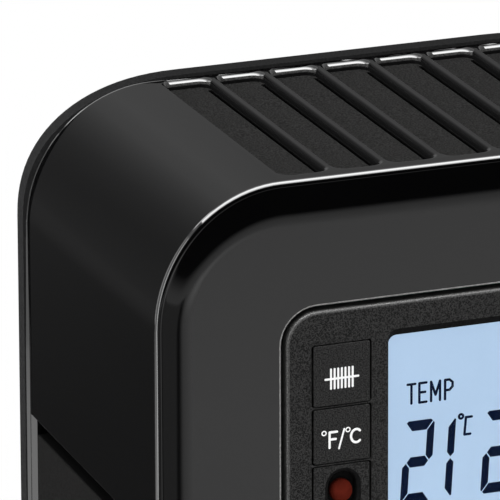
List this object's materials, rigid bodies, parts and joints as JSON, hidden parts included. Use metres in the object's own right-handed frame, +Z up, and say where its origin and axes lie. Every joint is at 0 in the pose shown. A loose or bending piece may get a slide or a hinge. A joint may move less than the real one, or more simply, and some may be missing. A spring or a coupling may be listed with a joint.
{
  "type": "oil filled radiator heater",
  "caption": "Free-standing oil filled radiator on swivel casters, with upright fins and a gloss black control housing with a lit display and push keys.",
  "frame": {"origin": "on the floor, under the middle of the heater's bounding box", "axes": "+Z up, -Y towards the control panel's front, +X to the right as seen from the front"},
  "size_m": [0.236, 0.359, 0.64],
  "materials": {
    "gloss_black": "piano black gloss moulding",
    "satin_black": "satin black moulding",
    "grain_black": "black moulding with a fine spark-eroded grain",
    "lcd_blue": "light blue backlit display",
    "clear": "clear acrylic window",
    "ir_red": "dark red transparent receiver dome",
    "fin_paint": "black powder coat on pressed steel",
    "foot_plastic": "black moulded plastic",
    "caster_plastic": "black nylon",
    "wheel_plastic": "dark grey nylon tread",
    "zinc": "zinc plated steel",
    "element_steel": "steel tube and plug",
    "gasket_rubber": "black sealing rubber",
    "board_green": "green circuit board",
    "component": "moulded electronic parts",
    "brass": "brass pendulum"
  },
  "bodies": {
    "heater": {"front_shell": "gloss_black", "rear_shell": "satin_black", "side_panel_left": "grain_black", "side_panel_right": "grain_black", "housing_screws": "zinc", "cord_gland": "satin_black", "control_bezel": "grain_black", "lcd_lens": "clear", "lcd_module": "lcd_blue", "control_board": "board_green", "tact_switches": "component", "ir_window": "ir_red", "power_board": "board_green", "relays": "component", "thermal_cutout": "component", "room_sensor": "component", "tip_switch_frame": "component", "tip_pin": "zinc", "heating_element": "element_steel", "element_gasket": "gasket_rubber", "tie_bolt": "zinc", "filler_plug": "zinc", "foot_front": "foot_plastic", "foot_rear": "foot_plastic", "foot_clamp_front": "zinc", "foot_clamp_rear": "zinc", "wing_nuts": "zinc", "fin_1": "fin_paint", "fin_2": "fin_paint", "fin_3": "fin_paint", "fin_4": "fin_paint", "fin_5": "fin_paint", "fin_6": "fin_paint", "fin_7": "fin_paint"},
    "button_heat": {"button_heat": "grain_black"},
    "button_unit": {"button_unit": "grain_black"},
    "button_lock": {"button_lock": "grain_black"},
    "button_power": {"button_power": "grain_black"},
    "button_up": {"button_up": "grain_black"},
    "button_down": {"button_down": "grain_black"},
    "button_timer": {"button_timer": "grain_black"},
    "swivel_front_left": {"caster_front_left": "caster_plastic", "caster_axle_front_left": "zinc"},
    "wheel_front_left_a": {"wheel_front_left_a": "wheel_plastic"},
    "wheel_front_left_b": {"wheel_front_left_b": "wheel_plastic"},
    "swivel_front_right": {"caster_front_right": "caster_plastic", "caster_axle_front_right": "zinc"},
    "wheel_front_right_a": {"wheel_front_right_a": "wheel_plastic"},
    "wheel_front_right_b": {"wheel_front_right_b": "wheel_plastic"},
    "swivel_rear_left": {"caster_rear_left": "caster_plastic", "caster_axle_rear_left": "zinc"},
    "wheel_rear_left_a": {"wheel_rear_left_a": "wheel_plastic"},
    "wheel_rear_left_b": {"wheel_rear_left_b": "wheel_plastic"},
    "swivel_rear_right": {"caster_rear_right": "caster_plastic", "caster_axle_rear_right": "zinc"},
    "wheel_rear_right_a": {"wheel_rear_right_a": "wheel_plastic"},
    "wheel_rear_right_b": {"wheel_rear_right_b": "wheel_plastic"},
    "tip_pendulum": {"tip_pendulum": "brass"}
  },
  "joints": [
    {"name": "press_heat", "type": "slide", "parent": "heater", "child": "button_heat", "axis": [0, 1, 0], "range_m": [0, 0.0006], "stiffness_N_per_m": 1500},
    {"name": "press_unit", "type": "slide", "parent": "heater", "child": "button_unit", "axis": [0, 1, 0], "range_m": [0, 0.0006], "stiffness_N_per_m": 1500},
    {"name": "press_lock", "type": "slide", "parent": "heater", "child": "button_lock", "axis": [0, 1, 0], "range_m": [0, 0.0006], "stiffness_N_per_m": 1500},
    {"name": "press_power", "type": "slide", "parent": "heater", "child": "button_power", "axis": [0, 1, 0], "range_m": [0, 0.0006], "stiffness_N_per_m": 1500},
    {"name": "press_up", "type": "slide", "parent": "heater", "child": "button_up", "axis": [0, 1, 0], "range_m": [0, 0.0006], "stiffness_N_per_m": 1500},
    {"name": "press_down", "type": "slide", "parent": "heater", "child": "button_down", "axis": [0, 1, 0], "range_m": [0, 0.0006], "stiffness_N_per_m": 1500},
    {"name": "press_timer", "type": "slide", "parent": "heater", "child": "button_timer", "axis": [0, 1, 0], "range_m": [0, 0.0006], "stiffness_N_per_m": 1500},
    {"name": "swivel_front_left", "type": "hinge", "parent": "heater", "child": "swivel_front_left", "pos_m": [-0.102, -0.0525, 0.052], "axis": [0, 0, 1], "continuous": true},
    {"name": "roll_front_left_a", "type": "hinge", "parent": "swivel_front_left", "child": "wheel_front_left_a", "pos_m": [-0.102, -0.0375, 0.019], "axis": [1, 0, 0], "continuous": true},
    {"name": "roll_front_left_b", "type": "hinge", "parent": "swivel_front_left", "child": "wheel_front_left_b", "pos_m": [-0.102, -0.0375, 0.019], "axis": [1, 0, 0], "continuous": true},
    {"name": "swivel_front_right", "type": "hinge", "parent": "heater", "child": "swivel_front_right", "pos_m": [0.102, -0.0525, 0.052], "axis": [0, 0, 1], "continuous": true},
    {"name": "roll_front_right_a", "type": "hinge", "parent": "swivel_front_right", "child": "wheel_front_right_a", "pos_m": [0.102, -0.0375, 0.019], "axis": [1, 0, 0], "continuous": true},
    {"name": "roll_front_right_b", "type": "hinge", "parent": "swivel_front_right", "child": "wheel_front_right_b", "pos_m": [0.102, -0.0375, 0.019], "axis": [1, 0, 0], "continuous": true},
    {"name": "swivel_rear_left", "type": "hinge", "parent": "heater", "child": "swivel_rear_left", "pos_m": [-0.102, 0.1375, 0.052], "axis": [0, 0, 1], "continuous": true},
    {"name": "roll_rear_left_a", "type": "hinge", "parent": "swivel_rear_left", "child": "wheel_rear_left_a", "pos_m": [-0.102, 0.1525, 0.019], "axis": [1, 0, 0], "continuous": true},
    {"name": "roll_rear_left_b", "type": "hinge", "parent": "swivel_rear_left", "child": "wheel_rear_left_b", "pos_m": [-0.102, 0.1525, 0.019], "axis": [1, 0, 0], "continuous": true},
    {"name": "swivel_rear_right", "type": "hinge", "parent": "heater", "child": "swivel_rear_right", "pos_m": [0.102, 0.1375, 0.052], "axis": [0, 0, 1], "continuous": true},
    {"name": "roll_rear_right_a", "type": "hinge", "parent": "swivel_rear_right", "child": "wheel_rear_right_a", "pos_m": [0.102, 0.1525, 0.019], "axis": [1, 0, 0], "continuous": true},
    {"name": "roll_rear_right_b", "type": "hinge", "parent": "swivel_rear_right", "child": "wheel_rear_right_b", "pos_m": [0.102, 0.1525, 0.019], "axis": [1, 0, 0], "continuous": true},
    {"name": "tip_swing", "type": "hinge", "parent": "heater", "child": "tip_pendulum", "pos_m": [-0.036, -0.105, 0.2727], "axis": [0, 1, 0], "range_deg": [-22, 22]}
  ]
}
